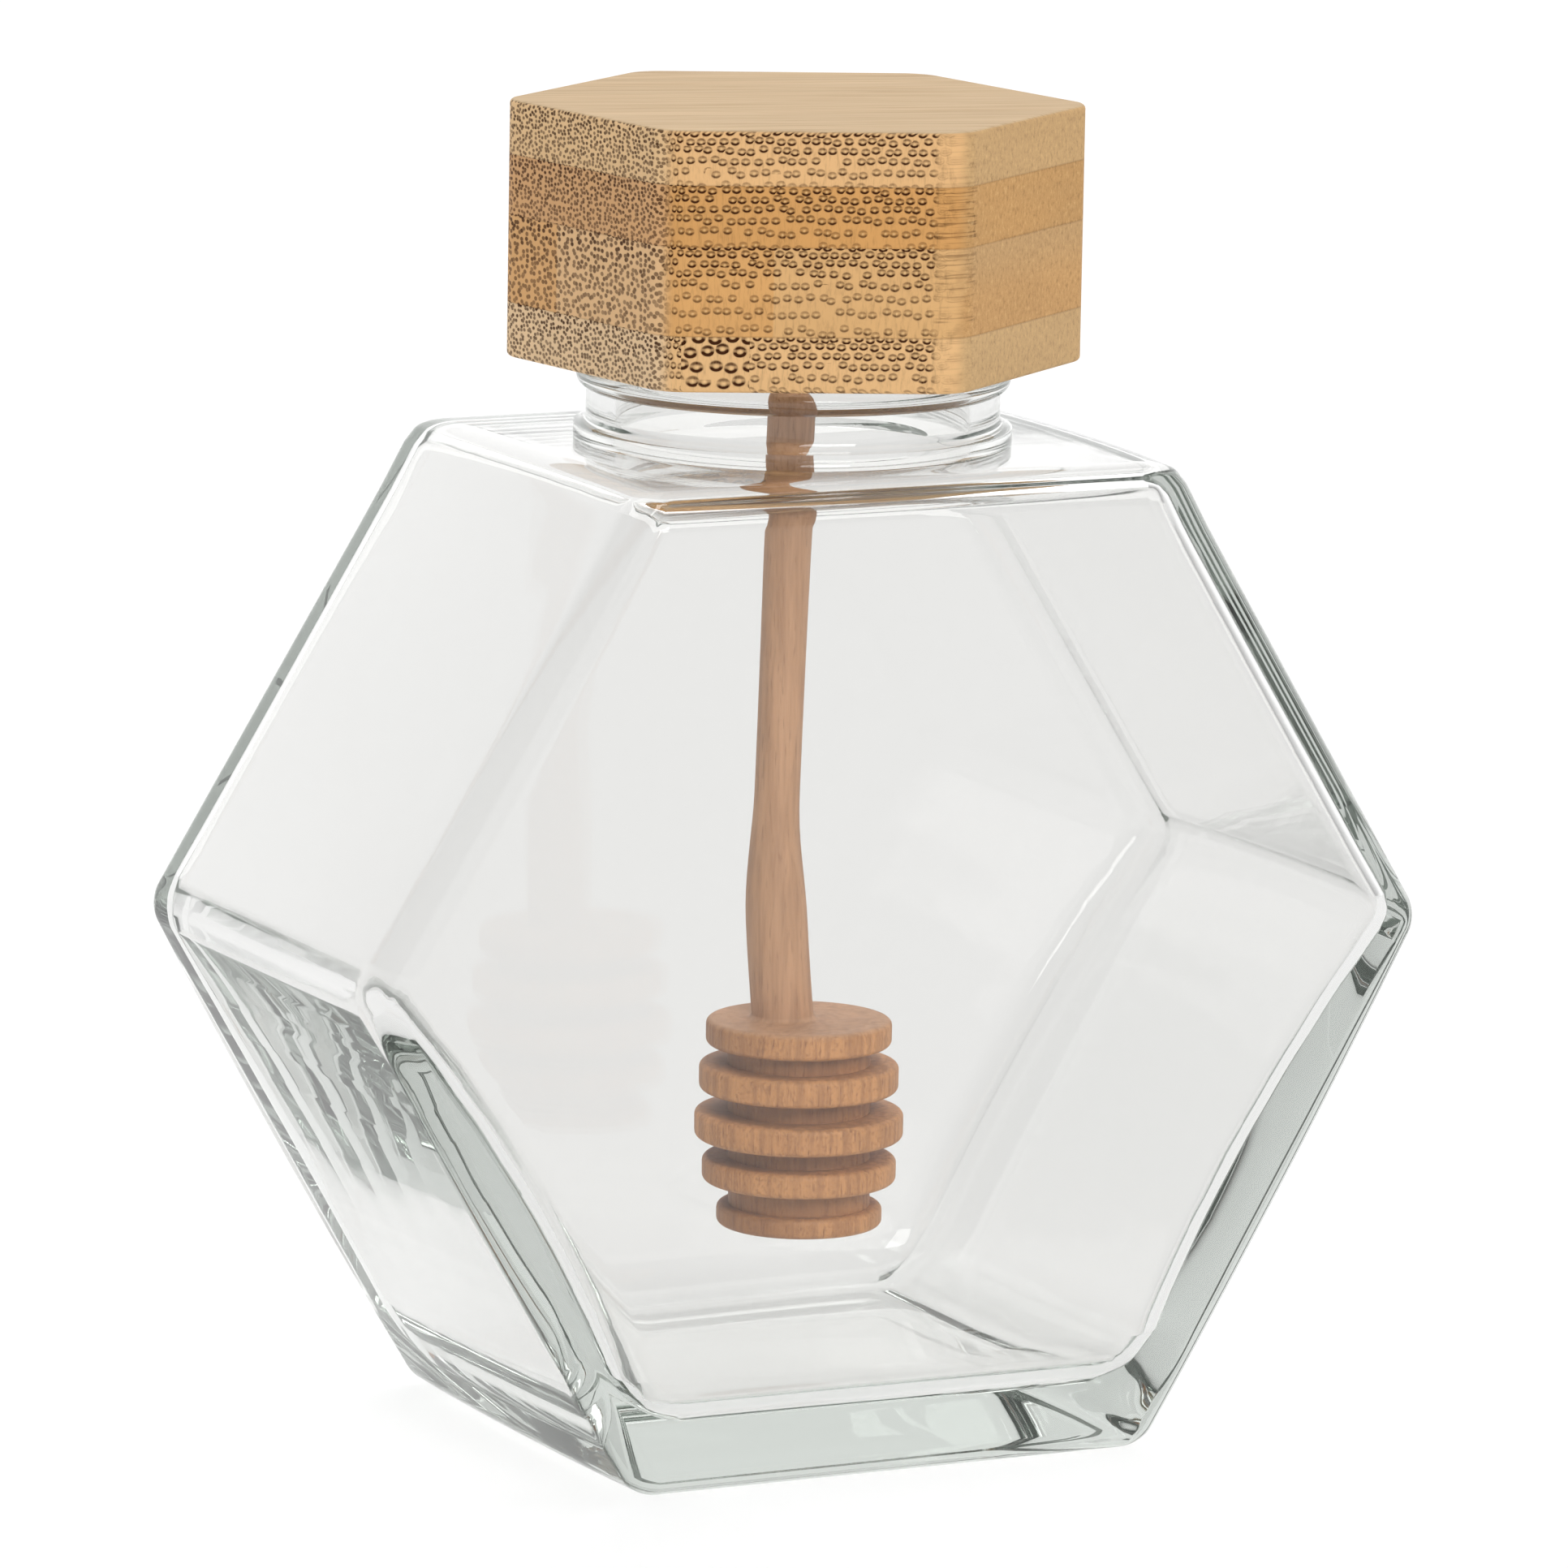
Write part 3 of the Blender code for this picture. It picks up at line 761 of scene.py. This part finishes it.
def laminated_bamboo():
    cap = Bamboo()
    dots = cap.dots()
    lids_and_shade, pupil_highlights = cap.eyes()
    grain, top_colour = cap.top_grain()
    edge_strip = cap.along.smooth(11.2, 12.2) * (1 - cap.along.smooth(13.4, 14.8)) * (1 - cap.on_end)
    has_eyes = cap.on_front * (1 - edge_strip)
    lines = cap.noise(cap.point(cap.along * 0.3, cap.z * 3.2, cap.layer), 1.0, 2.0).smooth(0.52, 0.66)
    hairs = cap.noise(cap.point(cap.along * 2.6, cap.z * 0.45, cap.layer * 2.0), 1.0, 3.0, 0.7)
    specks = cap.noise(cap.point(cap.along * 2.2, cap.z * 1.3, cap.layer * 4.0), 1.0, 3.0, 0.8)

    # The eyes' rims are dark fibre with painted shade on their lower side
    dark = cap.on_end * dots * 0.95 + has_eyes * lids_and_shade
    dark = dark + edge_strip * lines * cap.by_layer(EDGE_LINE_SHARES)
    dark = dark + cap.on_front * hairs.smooth(0.45, 0.8) * 0.32
    dark = dark + cap.on_side * specks.smooth(0.5, 0.72) * 0.34
    for joint in CAP_JOINTS:
        dark = dark + (1 - abs(cap.z - joint).smooth(0.03, 0.17)) * 0.2
    # The painted highlight in each eye's middle, and pale specks on the sides
    pale = has_eyes * pupil_highlights * 0.5 + cap.on_side * (1 - specks.smooth(0.25, 0.5)) * 0.3
    colour = cap.mix(dark.least(1.0), cap.bare_wood(), linear(*DARK_FIBRE_AND_SHADE_COLOUR))
    colour = cap.mix(pale, colour, linear(*PALE_FIBRE_AND_HIGHLIGHT_COLOUR))
    cap.colour(cap.mix(cap.on_top, colour, top_colour))

    height = cap.on_front * (pupil_highlights * 0.7 - lids_and_shade) - cap.on_end * dots
    cap.relief((1 - cap.on_top) * height + cap.on_top * grain * 0.2, 0.00025, 0.6)
    return cap.material


STICK_COLOUR = (186, 141, 103)
STICK_GRAIN_COLOUR = (150, 106, 70)
HEAD_COLOUR = (196, 139, 84)
HEAD_GRAIN_COLOUR = (140, 88, 46)
# Painted shade: the head's core and the inner faces of the discs, in the grooves between them, are
# darkened towards this colour
GROOVE_SHADE_COLOUR = (116, 70, 34)


def turned_wood():
    finish = Finish("turned_wood", 0.6)
    x, y, z = finish.place()
    radius = (x * x + y * y) ** 0.5
    grain = finish.noise(finish.point(x * 1.4, y * 1.4, z * 0.09), 1.0, 3.0, 0.6)
    flecks = finish.noise(finish.point(x * 4.0, y * 4.0, z * 0.5), 1.0, 1.0).smooth(0.6, 0.74)
    blotch = finish.noise(finish.point(x * 0.2, y * 0.2, z * 0.12), 1.0, 2.0)
    in_head = 1 - z.smooth(40.0, 40.6)
    plain = finish.mix(in_head, linear(*STICK_COLOUR), linear(*HEAD_COLOUR))
    dark = finish.mix(in_head, linear(*STICK_GRAIN_COLOUR), linear(*HEAD_GRAIN_COLOUR))
    speckle = finish.noise(finish.point(x * 3.2, y * 3.2, z * 2.4), 1.0, 2.0, 0.7)
    colour = finish.mix(grain.smooth(0.35, 0.7) * 0.6, plain, dark)
    colour = finish.mix(flecks * 0.7 + in_head * speckle.smooth(0.48, 0.7) * 0.55, colour, dark)
    colour = finish.shade(colour, 0.88 + 0.22 * blotch)
    # Painted shade in the grooves between the discs: the head darkens towards the core
    groove_shade = in_head * (1 - radius.smooth(7.6, 9.2))
    colour = finish.mix(groove_shade * 0.5, colour, linear(*GROOVE_SHADE_COLOUR))
    finish.colour(colour)
    finish.relief(grain + flecks * 0.4, 0.0002, 0.35)
    return finish.material


# Studio

FLOOR_RADIUS = 3.0
FLOOR_COLOUR = (0.3, 0.3, 0.3)
FLOOR_GLOW = 0.68

# Two glows of the world: the way each lies, where it starts and is full, and its strength there
BEHIND_GLOW = ((0.446, 0.895, 0.0), -0.1, 0.85, 0.2, 1.3)
LOW_GLOW = ((0.0, 0.0, -1.0), -0.17, -0.09, 0.0, 0.92)

# Name, place, aim, width and height in metres, and watts
SOFTBOXES = (
    ("overhead_softbox", (0.2, 1.0, 3.0), (0.2, 1.0, 0.0), 4.0, 3.6, 69.0),
    ("front_softbox", (-0.15, -1.75, 1.1), (0.0, 0.0, 0.08), 1.0, 0.8, 18.5),
)

# The photo's camera: azimuth, elevation and roll in degrees
CAMERA_TURN = (-26.51, 10.34, 1.0)
CAMERA_TARGET = Vector((-0.25, 0.0, 63.8)) * MM
CAMERA_DISTANCE = 1049.3 * MM
CAMERA_LENS = 244.64


def softbox(name, place, aim, width, height, power):
    bpy.ops.object.light_add(type="AREA", location=place)
    light = bpy.context.active_object
    light.name = light.data.name = name
    light.data.shape = "RECTANGLE"
    light.data.size = width
    light.data.size_y = height
    light.data.energy = power
    light.rotation_euler = (Vector(aim) - Vector(place)).to_track_quat("-Z", "Y").to_euler()


def pale_floor():
    """A plain floor that glows a little, so that it stays pale far from the softboxes."""
    finish = Finish("pale_glowing_floor", 0.9)
    finish.colour(FLOOR_COLOUR)
    finish.shader.inputs["Emission Color"].default_value = (1.0, 1.0, 1.0, 1.0)
    finish.shader.inputs["Emission Strength"].default_value = FLOOR_GLOW
    bpy.ops.mesh.primitive_circle_add(
        vertices=128, radius=FLOOR_RADIUS, fill_type="NGON", location=(0, 0, -0.05 * MM)
    )
    floor = added("studio_floor")
    floor.data.materials.append(finish.material)


def soft_world():
    """A white world, bright behind the jar and low down, and dim elsewhere."""
    world = bpy.data.worlds.new("soft_studio")
    bpy.context.scene.world = world
    world.use_nodes = True
    tree = world.node_tree
    direction = tree.nodes.new("ShaderNodeTexCoord").outputs["Generated"]
    background = tree.nodes["Background"]
    background.inputs["Color"].default_value = (1.0, 1.0, 1.0, 1.0)
    brighter = tree.nodes.new("ShaderNodeMath")
    brighter.operation = "MAXIMUM"
    for i, (aim, *limits) in enumerate((BEHIND_GLOW, LOW_GLOW)):
        along = tree.nodes.new("ShaderNodeVectorMath")
        along.operation = "DOT_PRODUCT"
        along.inputs[1].default_value = aim
        tree.links.new(direction, along.inputs[0])
        ramp = tree.nodes.new("ShaderNodeMapRange")
        ramp.interpolation_type = "SMOOTHSTEP"
        for key, value in zip(("From Min", "From Max", "To Min", "To Max"), limits):
            ramp.inputs[key].default_value = value
        tree.links.new(along.outputs["Value"], ramp.inputs["Value"])
        tree.links.new(ramp.outputs["Result"], brighter.inputs[i])
    tree.links.new(brighter.outputs[0], background.inputs["Strength"])


def camera():
    azimuth, elevation, roll = (math.radians(angle) for angle in CAMERA_TURN)
    back = Vector((
        math.sin(azimuth) * math.cos(elevation),
        -math.cos(azimuth) * math.cos(elevation),
        math.sin(elevation),
    ))
    right = Vector((math.cos(azimuth), math.sin(azimuth), 0.0))
    up = back.cross(right)
    level_right, level_up = right, up
    right = level_right * math.cos(roll) + level_up * math.sin(roll)
    up = level_up * math.cos(roll) - level_right * math.sin(roll)
    data = bpy.data.cameras.new("camera")
    data.sensor_width = 36.0
    data.lens = CAMERA_LENS
    data.clip_start = 0.05
    data.clip_end = 30.0
    made = bpy.data.objects.new("camera", data)
    turn = Matrix((right, up, back)).transposed().to_4x4()
    made.matrix_world = Matrix.Translation(CAMERA_TARGET + back * CAMERA_DISTANCE) @ turn
    bpy.context.scene.collection.objects.link(made)
    bpy.context.scene.camera = made


def render_settings():
    scene = bpy.context.scene
    scene.view_settings.view_transform = "Standard"
    scene.cycles.max_bounces = 48
    scene.cycles.transmission_bounces = 48
    scene.cycles.glossy_bounces = 48
    scene.cycles.transparent_max_bounces = 16
    scene.cycles.blur_glossy = 0.0
    scene.cycles.sample_clamp_indirect = 20.0


render_settings()
camera()
glass_jar(clear_glass())
bamboo_cap(laminated_bamboo())
honey_dipper(turned_wood())
pale_floor()
soft_world()
for values in SOFTBOXES:
    softbox(*values)
